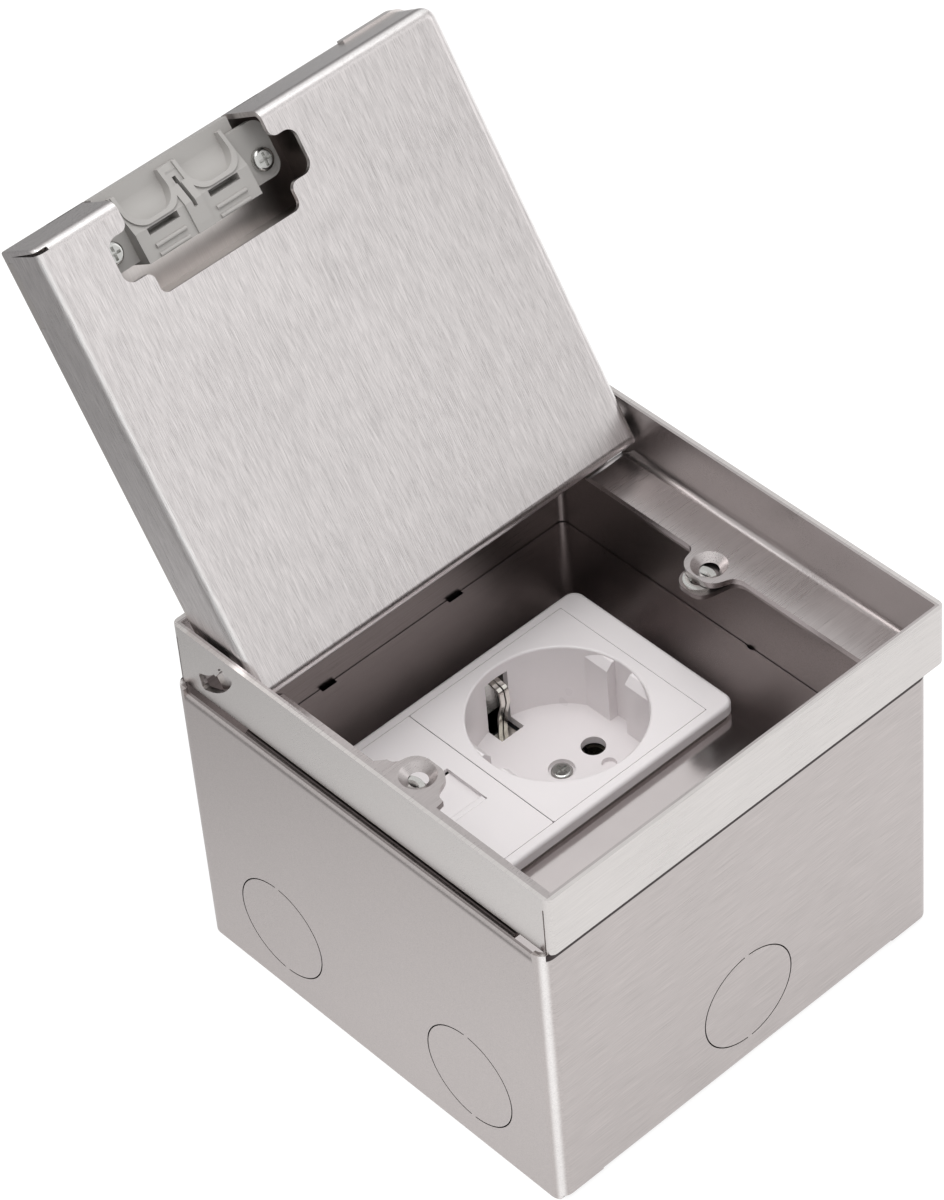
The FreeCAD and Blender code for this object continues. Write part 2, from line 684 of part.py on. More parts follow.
def scoop_hollow():
    """Side view of a scoop's hollow: it curves down from the flap to the body at its inner end."""
    v0 = pan_front
    low = frame_h - outlet_back_drop - 3
    roof = frame_h - flap_t
    foot = frame_h - outlet_back_drop + 0.8
    start = V(0, v0 + scoop_depth - scoop_curve, roof)
    end = V(0, v0 + scoop_depth + 0.01, foot)
    middle = V(0, start.y + (end.y - start.y) * 0.7, foot + (roof - foot) * 0.7)
    wire = Part.Wire([
        Part.makeLine(V(0, v0 - 2, low), V(0, v0 - 2, roof)), Part.makeLine(V(0, v0 - 2, roof), start),
        Part.Arc(start, middle, end).toShape(), Part.makeLine(end, V(0, end.y, low)),
        Part.makeLine(V(0, end.y, low), V(0, v0 - 2, low))])
    hollow = Part.Face(wire).extrude(V(2 * flap_half, 0, 0))
    hollow.translate(V(-flap_half, 0, 0))
    return hollow


def cable_outlet():
    """Moulded outlet in the lid's free edge: a flap, two cable scoops and a screwed ear each side."""
    v0 = pan_front
    flap = block(-flap_half, flap_half, v0, v0 + flap_depth, frame_h - flap_t, frame_h - 0.05)
    body = outlet_profile(0).extrude(V(2 * outlet_half, 0, 0))
    body.translate(V(-outlet_half, 0, 0))
    rims = outlet_profile(scoop_rim_h).extrude(V(2 * outlet_half, 0, 0))
    rims.translate(V(-outlet_half, 0, 0))
    clear = block(-flap_half - 1, flap_half + 1, v0, v0 + flap_depth + 0.01, frame_h - flap_t, frame_h)
    ear_top = frame_h - ear_drop + ear_t
    ears = plate(rectangle(-ear_half + 0.9, ear_half - 0.9, v0 + 3.0, v0 + ear_back - 0.8, 3.0),
                 frame_h - ear_drop, ear_top)
    body_low = frame_h - outlet_back_drop
    post = block(-outlet_post, outlet_post, v0 + 3.0, v0 + outlet_back, body_low - rib_r, body_low + 2)
    post = post.common(rims)
    parts = [flap, body.cut(clear), ears, post]
    for side in (-1, 1):
        parts.append(rod(side * screw_pitch / 2, v0 + screw_depth, ear_top - 0.1, pan_top - fit_gap, 6.0))
        parts.append(scoop(side * scoop_pitch / 2, scoop_rim_w).common(rims.cut(clear)))
        for step in (0, 1):
            rib = Part.makeCylinder(rib_r, slot_length, V(side * scoop_pitch / 2 - slot_length / 2,
                                    v0 + outlet_back - rib_r - rib_pitch * step, body_low), X_AXIS)
            parts.append(rib)
    outlet = union(parts)
    cutters = []
    low = body_low - 3
    hollow = scoop_hollow()
    for side in (-1, 1):
        x = side * scoop_pitch / 2
        cutters.append(scoop(x, 0).common(hollow))
        cutters.append(block(x - slot_length / 2, x + slot_length / 2, v0 + scoop_depth + 1.5,
                             v0 + scoop_depth + 1.5 + slot_width, low, frame_h - ear_drop + 1))
        cutters.append(rod(side * screw_pitch / 2, v0 + screw_depth, 0, frame_h, screw_shank_d + 2 * fit_gap))
        cutters.append(rod(side * (ear_half - 3.4), v0 + ear_back - 2.6, 0, frame_h - ear_drop + 0.2, ejector_d))
    cutters.append(block(-0.45, 0.45, v0 + 4.4, v0 + 11.4, low, frame_h - ear_drop + 1))
    outlet = outlet.cut(cutters)
    outlet.translate(V(outlet_x, 0, 0))
    return on_lid(outlet)


def outlet_screws():
    screws = []
    for side in (-1, 1):
        screw = pan_screw(0, 0, 0, screw_head_d, screw_head_t, screw_shank_d, ear_drop - 0.4)
        screw.rotate(V(0, 0, 0), X_AXIS, 180)
        screw.translate(V(outlet_x + side * screw_pitch / 2, pan_front + screw_depth, frame_h - ear_drop))
        screws.append(on_lid(screw))
    return Part.makeCompound(screws)


# ---- mounting plate and frame ------------------------------------------------------------------------------------
def mounting_plate():
    x = wall_x - plate_gap
    y = wall_y - plate_gap
    low = plate_top - sheet
    sheet_part = plate(rectangle(-x, x, -y, y, corner_bend - sheet + 0.2), low, plate_top)
    tabs = []
    notches = []
    tab_half = (end_slot_pitch - end_slot_x) / 2
    for end in (-1, 1):
        tabs.append(block(end_tab_x - tab_half, end_tab_x + tab_half, min(end * y, end * (y - sheet)),
                          max(end * y, end * (y - sheet)), plate_top - plate_tab, plate_top - 0.2))
        side_x = (min(end * x, end * (x - sheet)), max(end * x, end * (x - sheet)))
        for start, stop in ((side_tab_front, side_dent_y - side_dent_r), (side_dent_y + side_dent_r, side_tab_back)):
            tabs.append(block(side_x[0], side_x[1], start, stop, plate_top - plate_tab, plate_top - 0.2))
        for place in (-1, 1):
            slot_x = end_tab_x + place * end_slot_pitch / 2
            notches.append(block(slot_x - end_slot_x / 2, slot_x + end_slot_x / 2,
                                 min(end * (y + 1), end * (y - end_slot_y)),
                                 max(end * (y + 1), end * (y - end_slot_y)), low - plate_tab, plate_top + 1))
        notches.append(rod(end * (x + side_dent_r - side_dent), side_dent_y, low - plate_tab, plate_top + 1,
                           2 * side_dent_r))
    plate_solid = union([sheet_part] + tabs)
    collar_x = strip_half + collar_wall + plate_cut_gap
    collar_y = module / 2 + 0.6 + plate_cut_gap
    cut = plate(rectangle(strip_x - collar_x, strip_x + collar_x, strip_y - collar_y, strip_y + collar_y, 1.0),
                low - 1, plate_top + 1)
    pilots = [rod(strip_x + s * support_screw_x, strip_y, low - 1, plate_top + 1, 2.4) for s in (-1, 1)]
    return plate_solid.cut([cut] + notches + pilots)


def support_frame():
    """Flanged frame that holds the two modules in the plate."""
    half_x = bezel_x / 2 - support_inset
    half_y = bezel_y / 2 - support_inset
    flange = plate(rectangle(-half_x, half_x, -half_y, half_y, 2.2), plate_top, plate_top + support_t)
    collar = plate(rectangle(-strip_half - collar_wall, strip_half + collar_wall, -module / 2 - 0.6,
                             module / 2 + 0.6, 0.8), plate_top - collar_depth, plate_top + support_t)
    window = block(-strip_half - fit_gap, strip_half + fit_gap, -module / 2 - fit_gap, module / 2 + fit_gap,
                   plate_top - collar_depth - 1, plate_top + 9)
    frame = union([flange, collar]).cut(window)
    divider = block(strip_half - module - 0.5, strip_half - module + 0.5, -module / 2 - 0.3, module / 2 + 0.3,
                    plate_top - collar_depth, plate_top - collar_depth + 3)
    frame = union([frame, divider])
    holes = [rod(s * support_screw_x, 0, plate_top - 1, plate_top + 9, 3.1) for s in (-1, 1)]
    frame = frame.cut(holes)
    frame.translate(V(strip_x, strip_y, 0))
    return frame


def frame_screws():
    screws = []
    for side in (-1, 1):
        screws.append(pan_screw(strip_x + side * support_screw_x, strip_y, plate_top + support_t,
                                support_screw_head, bezel_t - bezel_skin - 0.3, 2.3, support_t + sheet + 3))
    return Part.makeCompound(screws)


def bezel():
    low = plate_top + support_t
    outline = rectangle(-bezel_x / 2, bezel_x / 2, -bezel_y / 2, bezel_y / 2, bezel_corner)
    cover = plate(outline, low, bezel_top)
    rim = [e for e in cover.Edges if e.BoundBox.ZMin > bezel_top - 1e-6]
    cover = cover.makeFillet(bezel_edge, rim)
    hollow = plate(rectangle(bezel_wall - bezel_x / 2, bezel_x / 2 - bezel_wall, bezel_wall - bezel_y / 2,
                             bezel_y / 2 - bezel_wall, bezel_corner - bezel_wall), low - 1,
                   bezel_top - bezel_skin)
    window = block(-strip_half, strip_half, -module / 2, module / 2, low - 1, bezel_top + 1)
    cover = cover.cut([hollow, window])
    cover.translate(V(strip_x, strip_y, 0))
    return cover


# ---- earthed socket ---------------------------------------------------------------------------------------------
def at_socket(shape):
    placed = shape.copy()
    placed.translate(V(socket_x, strip_y, bezel_top))
    return placed


def guide_pads():
    """Flat pads in the +X and -X sides of the cup, each with a groove and a sloped lead-in."""
    pads = []
    radius = cup_d / 2
    for place in (-1, 1):
        near = place * guide_groove / 2
        far = place * guide_half
        pad = block(guide_flat, radius + cup_wall / 2, min(near, far), max(near, far), -cup_depth - 0.1, -0.6)
        lead = Part.Face(Part.makePolygon([
            V(guide_flat - 1, -guide_half - 1, 0), V(guide_flat - 1, -guide_half - 1, -guide_lead - 1.2),
            V(guide_flat + guide_lead, -guide_half - 1, 0), V(guide_flat - 1, -guide_half - 1, 0),
        ])).extrude(V(0, 2 * guide_half + 2, 0))
        pads += both_sides(pad.cut(lead).common(rod(0, 0, -cup_depth - 1, 0, cup_d + cup_wall)))
    return pads


def schuko_front():
    half = module / 2 - module_gap
    face = plate(rectangle(-half, half, -half, half, 0.4), -face_t, 0)
    cup = rod(0, 0, -cup_depth - face_t, 0, cup_d + 2 * cup_wall)
    front = face.fuse(cup).cut(rod(0, 0, -cup_depth, 1, cup_d))
    rim = [e for e in front.Edges
           if abs(e.BoundBox.ZMin) < 1e-6 and abs(e.BoundBox.XLength - cup_d) < 0.01]
    front = front.makeFillet(0.5, rim)
    front = union([front] + guide_pads())
    cutters = []
    for side in (-1, 1):
        cutters.append(rod(side * pin_pitch / 2, 0, -cup_depth - face_t - 1, -cup_depth + 1, pin_hole))
        window = block(-earth_window / 2, earth_window / 2, 15.3, cup_d / 2 + cup_wall + 1,
                       -cup_depth - face_t - 1, -earth_window_top)
        cutters.append(window if side > 0 else window.mirror(V(0, 0, 0), Y_AXIS))
        clip = block(-4.0, 4.0, half - 1.4, half + 1, -1.6 - face_t, -face_t)
        cutters.append(clip if side > 0 else clip.mirror(V(0, 0, 0), Y_AXIS))
    cutters.append(rod(0, 0, -cup_depth - face_t - 1, -cup_depth + 1, centre_recess_d))
    cutters.append(rod(mark_x, mark_y, -cup_depth - mark_depth, -cup_depth + 1, mark_d))
    front = front.cut(cutters)
    seat = rod(0, 0, -cup_depth - face_t, -cup_depth - face_t + centre_seat, centre_recess_d + 0.4)
    front = union([front, seat.cut(rod(0, 0, -cup_depth - face_t - 1, 0, centre_screw_shank + 0.1))])
    return at_socket(front)


def schuko_body():
    """Housing under the cup, with cells for the contacts and terminals."""
    top = -cup_depth - face_t - strap_t - 0.1
    low = top - body_h
    body = plate(rectangle(-body_half, body_half, -body_half, body_half, 2.0), low, top)
    cutters = []
    for side in (-1, 1):
        x = side * pin_pitch / 2
        cutters.append(rod(x, 0, low + 1.2, top + 1, contact_bore + 2 * contact_wall + 0.3))
        end = side * (terminal_x + 2.5)
        cutters.append(block(min(x, end), max(x, end), -terminal_half - 0.4, terminal_half + 0.4, low + 1.2, top + 1))
        cutters.append(rod(side * terminal_x, 0, low - 1, low + 2, terminal_screw_d + 1.1))
        cutters.append(block(side * 18.0 - 2.2, side * 18.0 + 2.2, 8.0, 17.0, low - 1, low + 6))
        cutters.append(block(side * 18.0 - 2.2, side * 18.0 + 2.2, -17.0, -8.0, low - 1, low + 6))
    cutters.append(rod(0, 0, low - 1, top + 1, 3.3))
    corners = [block(sx * 17.0 - 2.5, sx * 17.0 + 2.5, sy * 19.5 - 2, sy * 19.5 + 2, low - 1, low + 4)
               for sx in (-1, 1) for sy in (-1, 1)]
    body = body.cut(cutters + corners)
    collar = rod(0, 0, top - 1, top + strap_t, 7.0).cut(rod(0, 0, top - 2, top + 2, 3.3))
    return at_socket(union([body, collar]))


def schuko_screw():
    seat = -cup_depth - face_t + centre_seat
    return at_socket(pan_screw(0, 0, seat, centre_screw_d, centre_screw_t, centre_screw_shank,
                               centre_screw_length))


def earth_strap():
    """Earth stirrup: a strap under the cup with a sprung contact arm at each end."""
    low = -cup_depth - face_t - strap_t
    wall = cup_d / 2
    foot = wall - prong_slit
    strap = block(-strap_w / 2, strap_w / 2, -foot, foot, low, low + strap_t)
    strap = strap.fuse(rod(0, 0, low, low + strap_t, 11.0)).cut(rod(0, 0, low - 1, 0, 7.2))
    path = [(foot - prong_t, low, 0), (foot - prong_t - 0.5, -cup_depth + 3.5, 6.0), (wall - prong_gap, -9.0, 3.0),
            (wall - prong_gap + 0.4, -5.3, 1.2), (wall + cup_wall - 0.4, -4.6, 0)]
    prong = Part.Face(rounded_outline(ribbon(path, prong_t))).extrude(V(0, 0, prong_w))
    prong.transformShape(FreeCAD.Matrix(0, 0, 1, prong_slit / 2, 1, 0, 0, 0, 0, 1, 0, 0, 0, 0, 0, 1))
    prongs = both_sides(prong)
    prongs += [piece.mirror(V(0, 0, 0), Y_AXIS) for piece in prongs]
    return at_socket(union([strap] + prongs))


def pin_contacts():
    """Two sprung contact sleeves, each with its terminal clamp."""
    top = contact_top
    contacts = []
    for side in (-1, 1):
        x = side * pin_pitch / 2
        sleeve = rod(x, 0, top - contact_length, top, contact_bore + 2 * contact_wall)
        end = side * (terminal_x + 2.0)
        clamp = block(min(x, end), max(x, end), -terminal_half, terminal_half, top - contact_length,
                      top - contact_length + terminal_h)
        piece = sleeve.fuse(clamp).cut([
            rod(x, 0, top - contact_length - 1, top + 1, contact_bore),
            block(x - contact_slit / 2, x + contact_slit / 2, 0, contact_bore, top - contact_length + terminal_h,
                  top + 1),
            rod(side * terminal_x, 0, top - contact_length - 1, top - contact_length + terminal_h + 0.5,
                terminal_screw_d + 2 * fit_gap)])
        contacts.append(at_socket(piece.removeSplitter()))
    return Part.makeCompound(contacts)


def terminal_screws():
    screws = []
    low = contact_top - contact_length
    for side in (-1, 1):
        x = side * terminal_x
        screw = rod(x, 0, low - 0.9, low + terminal_h - 0.9, terminal_screw_d)
        slot = block(x - terminal_screw_d, x + terminal_screw_d, -0.25, 0.25, low - 1, low - 0.2)
        screws.append(at_socket(screw.cut(slot)))
    return Part.makeCompound(screws)


# ---- data socket -------------------------------------------------------------------------------------------------
def at_data(shape):
    placed = shape.copy()
    placed.translate(V(data_x, strip_y, bezel_top))
    return placed


def rj45_face():
    """Half-width module with a sunk port, rails for the shutter and cheeks that hold the jack."""
    half_x = module / 4 - module_gap
    half_y = module / 2 - module_gap
    face = plate(rectangle(-half_x, half_x, -half_y, half_y, 0.4), -port_skin, 0)
    rail_x = jack_x / 2 + fit_gap
    rails = both_sides(block(rail_x, rail_x + rail_t, -half_y + 4, half_y - 2, -rail_drop, -port_skin + 0.1))
    face = union([face] + rails)
    port = block(-port_x / 2, port_x / 2, port_front, port_back, -port_skin - 1, 1)
    return at_data(face.cut(port))


def rj45_shutter():
    """Dust shutter that slides under the face, pushed by its ridge."""
    x = jack_x / 2 + fit_gap - shutter_gap
    slide = block(-x, x, shutter_front, port_back - shutter_slit, shutter_top - shutter_t, shutter_top)
    ridge_y = port_front + ridge_gap
    ridge_top = shutter_top + ridge_rise
    ridge = block(0.3 - port_x / 2, port_x / 2 - 0.3, ridge_y, ridge_y + ridge_w, shutter_top, ridge_top)
    edges = [e for e in ridge.Edges if e.BoundBox.ZMin > ridge_top - 1e-6 and e.BoundBox.YLength < 1e-6]
    ridge = ridge.makeFillet(0.4, edges)
    return at_data(union([slide, ridge]))


def rj45_jack():
    """Keystone jack under the shutter."""
    x = jack_x / 2
    y = jack_y / 2
    port_low = jack_top - jack_port_depth
    front = jack_port_back - jack_port_y
    jack = block(-x, x, port_offset - y, port_offset + y, jack_top - jack_h, jack_top)
    port = block(-jack_port_x / 2, jack_port_x / 2, front, jack_port_back, port_low, jack_top + 1)
    latch = block(-jack_latch_x / 2, jack_latch_x / 2, front - jack_latch_y, front + 1, port_low, jack_top + 1)
    channel = block(-x - 1, x + 1, port_offset - 2.5, port_offset + 2.5, jack_top - jack_h - 1,
                    jack_top - jack_h + 4)
    return at_data(jack.cut([port, latch, channel]))


def rj45_contacts():
    """Eight sprung wires lying in the port."""
    floor = jack_top - jack_port_depth
    y = jack_port_back
    wires = []
    for i in range(jack_wires):
        x = (i - (jack_wires - 1) / 2) * jack_wire_pitch - jack_wire_w / 2
        wire = Part.Face(Part.makePolygon([
            V(x, y, floor), V(x, y, floor + 9.0), V(x, y - 0.5, floor + 9.0), V(x, y - 2.4, floor + 2.0),
            V(x, y - 2.4, floor), V(x, y, floor)])).extrude(V(jack_wire_w, 0, 0))
        wires.append(at_data(wire))
    return Part.makeCompound(wires)


PIECES = [
    back_box, rivet_nuts, earth_stud, earth_washer, earth_nut, trim_frame, lid_pan, lid_tray, cable_outlet,
    outlet_screws, mounting_plate, support_frame, frame_screws, bezel, schuko_front, schuko_body, schuko_screw,
    earth_strap, pin_contacts, terminal_screws, rj45_face, rj45_shutter, rj45_jack, rj45_contacts,
]

os.makedirs("parts", exist_ok=True)
for piece in PIECES:
    piece().exportStep("parts/" + piece.__name__ + ".step")
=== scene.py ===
import math
import bmesh
import bpy
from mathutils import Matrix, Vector


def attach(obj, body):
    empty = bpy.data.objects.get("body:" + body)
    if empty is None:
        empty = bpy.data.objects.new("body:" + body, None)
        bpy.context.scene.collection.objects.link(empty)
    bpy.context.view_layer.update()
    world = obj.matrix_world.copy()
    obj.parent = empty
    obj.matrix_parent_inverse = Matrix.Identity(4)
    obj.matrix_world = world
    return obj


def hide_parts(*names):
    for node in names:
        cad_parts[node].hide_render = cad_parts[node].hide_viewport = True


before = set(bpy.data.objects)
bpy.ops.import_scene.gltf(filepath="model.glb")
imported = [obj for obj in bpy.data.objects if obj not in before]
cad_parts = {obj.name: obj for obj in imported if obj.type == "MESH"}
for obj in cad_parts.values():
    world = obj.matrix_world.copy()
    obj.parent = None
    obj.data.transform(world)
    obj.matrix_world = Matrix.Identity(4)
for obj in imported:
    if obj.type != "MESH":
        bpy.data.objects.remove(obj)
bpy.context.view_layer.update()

# ---- back box ----
# Folded and spot-welded stainless box that is bedded in the floor, brushed along its walls. Its inner
# faces are painted darker as shade, its upright bends carry a painted highlight, and its end walls
# carry a painted shadow where the frame overhangs them.
box_tone = (0.54, 0.498, 0.488)
# painted shade: the inner faces are darkened to this tone
box_inner_shade_tone = (0.27, 0.24, 0.235)
# painted highlight along the middle of the upright bends
box_bend_highlight_tone = (0.88, 0.85, 0.84)
# painted shadow on the top of the end walls, under the frame's overhang
box_frame_shadow_tone = (0.05, 0.04, 0.04)
box_half = (0.05545, 0.05595)
box_inner_half = (0.0547, 0.0552)
box_bend = 0.0032
box_bend_highlight_span = (0.35, 0.68)
shadow_low = 0.0746
shadow_fade = 0.0002
shadow_out = 0.0554


def feed(tree, socket, value):
    """Sets a socket to a number, tone or vector, or links another socket to it."""
    if isinstance(value, bpy.types.NodeSocket):
        tree.links.new(value, socket)
    else:
        socket.default_value = value


def calculate(tree, operation, *values):
    """A Math node on numbers and sockets."""
    node = tree.nodes.new("ShaderNodeMath")
    node.operation = operation
    for socket, value in zip(node.inputs, values):
        feed(tree, socket, value)
    return node.outputs["Value"]


def calculate_vector(tree, operation, *values):
    """A Vector Math node on vectors and sockets."""
    node = tree.nodes.new("ShaderNodeVectorMath")
    node.operation = operation
    for socket, value in zip(node.inputs, values):
        feed(tree, socket, value)
    return node.outputs["Value" if operation == "DOT_PRODUCT" else "Vector"]


def split(tree, vector):
    """The X, Y and Z of a vector."""
    node = tree.nodes.new("ShaderNodeSeparateXYZ")
    tree.links.new(vector, node.inputs["Vector"])
    return node.outputs["X"], node.outputs["Y"], node.outputs["Z"]


def graded(tree, value, start, end, low=0.0, high=1.0, curve="SMOOTHSTEP"):
    """Low where the value is below start, high where it is above end, and even between."""
    ramp = tree.nodes.new("ShaderNodeMapRange")
    ramp.interpolation_type = curve
    ramp.inputs["From Min"].default_value = start
    ramp.inputs["From Max"].default_value = end
    ramp.inputs["To Min"].default_value = low
    ramp.inputs["To Max"].default_value = high
    tree.links.new(value, ramp.inputs["Value"])
    return ramp.outputs["Result"]


def noise(tree, vector, scale, detail, roughness=0.5):
    """Cloudy noise from 0 to 1."""
    node = tree.nodes.new("ShaderNodeTexNoise")
    feed(tree, node.inputs["Scale"], scale)
    node.inputs["Detail"].default_value = detail
    node.inputs["Roughness"].default_value = roughness
    tree.links.new(vector, node.inputs["Vector"])
    return node.outputs["Fac"]


def blend_tones(tree, share, first, second):
    """The first tone where the share is 0 and the second where it is 1."""
    factor, tone_a, tone_b, result = 0, 6, 7, 2
    blend = tree.nodes.new("ShaderNodeMix")
    blend.data_type = "RGBA"
    tree.links.new(share, blend.inputs[factor])
    feed(tree, blend.inputs[tone_a], first)
    feed(tree, blend.inputs[tone_b], second)
    return blend.outputs[result]


def grain_group():
    """Brushed steel: fine streaks along X of the vector given, cloudy tone and a few smudges."""
    fine_stretch, fine_detail, fine_roughness = 0.02, 3.0, 0.65
    broad_stretch, broad_scale, broad_detail, broad_share = 0.12, 900.0, 2.0, 0.12
    cloud_scale, cloud_detail = 38.0, 3.0
    soft_roughness = 0.6
    rough_from_streak, rough_from_cloud = 0.18, 0.12

    group = bpy.data.node_groups.new("brushed_grain", "ShaderNodeTree")
    for name, kind, value in (
        ("Vector", "NodeSocketVector", (0.0, 0.0, 0.0)),
        ("Tone", "NodeSocketColor", (0.5, 0.48, 0.47, 1)),
        ("Fineness", "NodeSocketFloat", 5200.0),
        ("Contrast", "NodeSocketFloat", 0.1),
        ("Smudge", "NodeSocketFloat", 0.12),
        ("Roughness", "NodeSocketFloat", 0.3),
    ):
        group.interface.new_socket(name, in_out="INPUT", socket_type=kind).default_value = value
    for name, kind in (("Colour", "NodeSocketColor"), ("Roughness", "NodeSocketFloat"),
                       ("Height", "NodeSocketFloat")):
        group.interface.new_socket(name, in_out="OUTPUT", socket_type=kind)
    given = group.nodes.new("NodeGroupInput").outputs
    result = group.nodes.new("NodeGroupOutput").inputs

    def calc(operation, *values):
        return calculate(group, operation, *values)

    def stretched(share):
        return calculate_vector(group, "MULTIPLY", given["Vector"], (share, 1.0, 1.0))

    fine = noise(group, stretched(fine_stretch), given["Fineness"], fine_detail, fine_roughness)
    broad = noise(group, stretched(broad_stretch), broad_scale, broad_detail, soft_roughness)
    cloud = noise(group, given["Vector"], cloud_scale, cloud_detail, soft_roughness)
    fine, broad, cloud = (calc("SUBTRACT", pattern, 0.5) for pattern in (fine, broad, cloud))

    streak = calc("ADD", fine, calc("MULTIPLY", broad, broad_share))
    shade = calc("ADD", calc("MULTIPLY", streak, given["Contrast"]),
                 calc("MULTIPLY", cloud, given["Smudge"]))
    shaded = group.nodes.new("ShaderNodeVectorMath")
    shaded.operation = "SCALE"
    group.links.new(given["Tone"], shaded.inputs[0])
    group.links.new(calc("ADD", shade, 1.0), shaded.inputs["Scale"])
    group.links.new(shaded.outputs["Vector"], result["Colour"])
    rough = calc("ADD", calc("MULTIPLY", streak, rough_from_streak),
                 calc("MULTIPLY", cloud, rough_from_cloud))
    group.links.new(calc("ADD", given["Roughness"], rough), result["Roughness"])
    group.links.new(streak, result["Height"])
    return group


grain = grain_group()


def brushed_steel(name, tone, turn=(0, 0, 0), roughness=0.32, contrast=0.12, fineness=5200.0,
                  smudge=0.1, bump=0.0000015, shades=()):
    """Stainless steel whose grain runs along X after the given turn, in degrees.

    Each of shades is another tone and a function that makes its mask from the object coordinates."""
    material = bpy.data.materials.new(name)
    material.use_nodes = True
    tree = material.node_tree
    shader = tree.nodes["Principled BSDF"]
    shader.inputs["Metallic"].default_value = 1.0
    shader.inputs["Anisotropic"].default_value = 0.35
    place = tree.nodes.new("ShaderNodeTexCoord").outputs["Object"]
    turned = tree.nodes.new("ShaderNodeMapping")
    turned.inputs["Rotation"].default_value = [math.radians(a) for a in turn]
    tree.links.new(place, turned.inputs["Vector"])

    colour = (*tone, 1)
    for other_tone, mask in shades:
        colour = blend_tones(tree, mask(tree, place), colour, (*other_tone, 1))
    surface = tree.nodes.new("ShaderNodeGroup")
    surface.node_tree = grain
    for socket, value in (("Vector", turned.outputs["Vector"]), ("Tone", colour), ("Fineness", fineness),
                          ("Contrast", contrast), ("Smudge", smudge), ("Roughness", roughness)):
        feed(tree, surface.inputs[socket], value)
    tree.links.new(surface.outputs["Colour"], shader.inputs["Base Color"])
    tree.links.new(surface.outputs["Roughness"], shader.inputs["Roughness"])

    relief = tree.nodes.new("ShaderNodeBump")
    relief.inputs["Strength"].default_value = 1.0
    relief.inputs["Distance"].default_value = bump
    tree.links.new(surface.outputs["Height"], relief.inputs["Height"])
    tree.links.new(relief.outputs["Normal"], shader.inputs["Normal"])
    return material


def dress(node, finish):
    """Gives a CAD node its finish."""
    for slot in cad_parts[node].material_slots:
        slot.material = finish


def inside_of(half_x, half_y, middle=0.0):
    """A mask that is 1 on the inner faces of a four-walled part and 0 on its outer ones."""

    def mask(tree, place):
        centred = calculate_vector(tree, "SUBTRACT", place, (middle, 0.0, 0.0))
        share = calculate_vector(tree, "DIVIDE", centred, (half_x, half_y, 1.0))
        share_x, share_y, _ = split(tree, calculate_vector(tree, "ABSOLUTE", share))
        return calculate(tree, "LESS_THAN", calculate(tree, "MAXIMUM", share_x, share_y), 1.0)

    return mask


def on_upright_bends(tree, place):
    """1 along the middle of the box's four upright bends, where a highlight is painted."""
    flat_half = (box_half[0] - box_bend, box_half[1] - box_bend, 0.0)
    reach = calculate_vector(tree, "SUBTRACT", calculate_vector(tree, "ABSOLUTE", place), flat_half)
    past_x, past_y, _ = split(tree, reach)
    return graded(tree, calculate(tree, "MINIMUM", past_x, past_y),
                  *(share * box_bend for share in box_bend_highlight_span))


def under_frame(tree, place):
    """1 on the narrow band of the end walls below the frame, where a shadow is painted."""
    _, along, height = split(tree, place)
    outside = calculate(tree, "GREATER_THAN", calculate(tree, "ABSOLUTE", along), shadow_out)
    high = graded(tree, height, shadow_low, shadow_low + shadow_fade)
    return calculate(tree, "MULTIPLY", outside, high)


dress("back_box", brushed_steel("box_steel", box_tone, contrast=0.7, fineness=5200.0,
                                shades=((box_inner_shade_tone, inside_of(*box_inner_half)),
                                        (box_bend_highlight_tone, on_upright_bends),
                                        (box_frame_shadow_tone, under_frame))))

# ---- trim frame ----
# Edge frame folded from stainless sheet and brushed along its length, with the lugs for its two
# screws and the tongues that the lid turns on. It stands loose on the box, 3 mm towards +X. Its inner
# faces are painted darker as shade.
frame_tone = (0.69, 0.66, 0.645)
# painted shade: the inner faces are darkened to this tone
frame_inner_shade_tone = (0.50, 0.465, 0.46)
frame_inner_half = 0.0556
frame_middle = 0.003
dress("trim_frame", brushed_steel(
    "trim_steel", frame_tone, roughness=0.3, contrast=0.4,
    shades=((frame_inner_shade_tone, inside_of(frame_inner_half, frame_inner_half, frame_middle)),)))

# The ledge at -X was folded 2.2 mm narrower, so that side is trimmed on a copy of the solid. The lug
# keeps its place: the ledge is cut across on either side of it, and only what lies beyond is moved.
ledge_trim = Vector((-0.0022, 0.0, 0.0))
ledge_edge = (-0.0412, -0.0396)
ledge_top = 0.0785
lug_span = (-0.0115, 0.0075)
lug_margin = 0.0001
weld_gap = 0.000002
cut_gap = 0.000001
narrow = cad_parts["trim_frame"].copy()
narrow.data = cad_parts["trim_frame"].data.copy()
narrow.name = "narrow_frame"
shape = bmesh.new()
shape.from_mesh(narrow.data)
bmesh.ops.remove_doubles(shape, verts=shape.verts, dist=weld_gap)
for end in lug_span:
    bmesh.ops.bisect_plane(shape, geom=shape.verts[:] + shape.edges[:] + shape.faces[:], dist=cut_gap,
                           plane_co=(0, end, 0), plane_no=(0, 1, 0))
beside = [v for v in shape.verts if ledge_edge[0] < v.co.x < ledge_edge[1] and v.co.z < ledge_top
          and not lug_span[0] + lug_margin < v.co.y < lug_span[1] - lug_margin]
bmesh.ops.translate(shape, verts=beside, vec=ledge_trim)
shape.to_mesh(narrow.data)
shape.free()
scene = bpy.context.scene
scene.collection.objects.link(narrow)
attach(narrow, "box")
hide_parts("trim_frame")

# ---- lid pan ----
# Underside of the lid, folded from stainless sheet and brushed from the hinge to the free edge. The
# bends round it carry a painted highlight, and it is painted darker towards +X as shade.
lid_tone = (0.71, 0.675, 0.67)
# painted shade: the lid darkens evenly to this tone towards its +X side
lid_far_shade_tone = (0.59, 0.56, 0.555)
